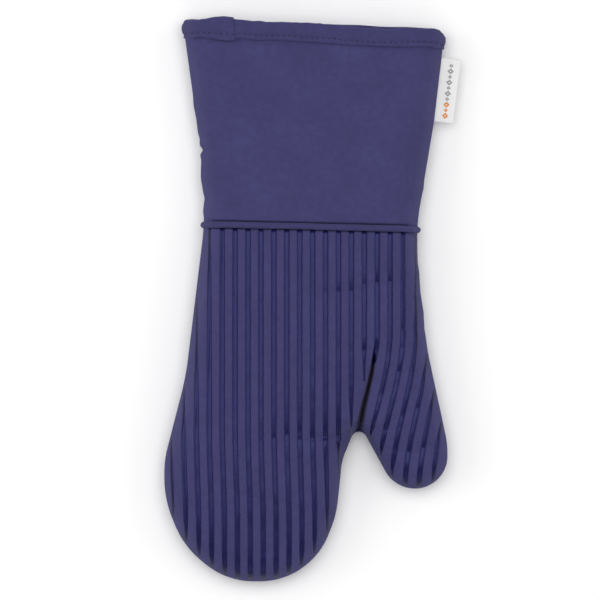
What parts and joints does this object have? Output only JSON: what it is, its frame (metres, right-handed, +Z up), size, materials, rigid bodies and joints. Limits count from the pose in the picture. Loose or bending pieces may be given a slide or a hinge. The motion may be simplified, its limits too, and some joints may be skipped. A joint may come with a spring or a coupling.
{
  "type": "oven mitt",
  "caption": "Quilted fabric oven mitt with a thumb, silicone grip stripes on the hand, a plain flared cuff, piping, a bound mouth and a side label.",
  "frame": {"origin": "on the surface the mitt lies on, below the middle of its bounding box", "axes": "+X to the thumb side, +Y to the open end of the cuff, +Z up out of the front of the hand"},
  "size_m": [0.193, 0.3669, 0.0418],
  "materials": {
    "cotton_navy": "woven twill, matte",
    "binding_navy": "folded bias tape, matte",
    "silicone_navy": "smooth glossy silicone print",
    "batting": "needled cotton wadding",
    "lining": "brushed cotton terry",
    "cotton_cord": "twisted cotton cord",
    "thread_navy": "polyester sewing thread",
    "label_white": "woven satin ribbon"
  },
  "bodies": {
    "mitt": {"back_batting": "batting", "back_cuff_panel": "cotton_navy", "back_hand_panel": "cotton_navy", "back_lining": "lining", "back_piping_cord": "cotton_cord", "back_piping_cover": "cotton_navy", "back_silicone_stripes": "silicone_navy", "binding_stitches": "thread_navy", "cuff_binding": "binding_navy", "front_batting": "batting", "front_cuff_panel": "cotton_navy", "front_hand_panel": "cotton_navy", "front_lining": "lining", "front_piping_cord": "cotton_cord", "front_piping_cover": "cotton_navy", "front_stripe_01": "silicone_navy", "front_stripe_02": "silicone_navy", "front_stripe_03": "silicone_navy", "front_stripe_04": "silicone_navy", "front_stripe_05": "silicone_navy", "front_stripe_06": "silicone_navy", "front_stripe_07": "silicone_navy", "front_stripe_08": "silicone_navy", "front_stripe_09": "silicone_navy", "front_stripe_10": "silicone_navy", "front_stripe_11": "silicone_navy", "front_stripe_12": "silicone_navy", "front_stripe_13": "silicone_navy", "front_stripe_14": "silicone_navy", "front_stripe_15": "silicone_navy", "front_stripe_16": "silicone_navy", "front_stripe_17": "silicone_navy", "front_stripe_18": "silicone_navy", "front_stripe_19": "silicone_navy", "front_stripe_20": "silicone_navy", "front_stripe_21": "silicone_navy", "front_stripe_22": "silicone_navy", "front_stripe_23": "silicone_navy", "side_seam_thread": "thread_navy"},
    "label": {"side_label": "label_white"}
  },
  "joints": [
    {"name": "label_flap", "type": "hinge", "parent": "mitt", "child": "label", "pos_m": [0.08059, 0.11569, 0.0106], "axis": [0.1191, 0.9929, 0], "range_deg": [-85, 85], "stiffness_Nm_per_rad": 0.0004}
  ]
}
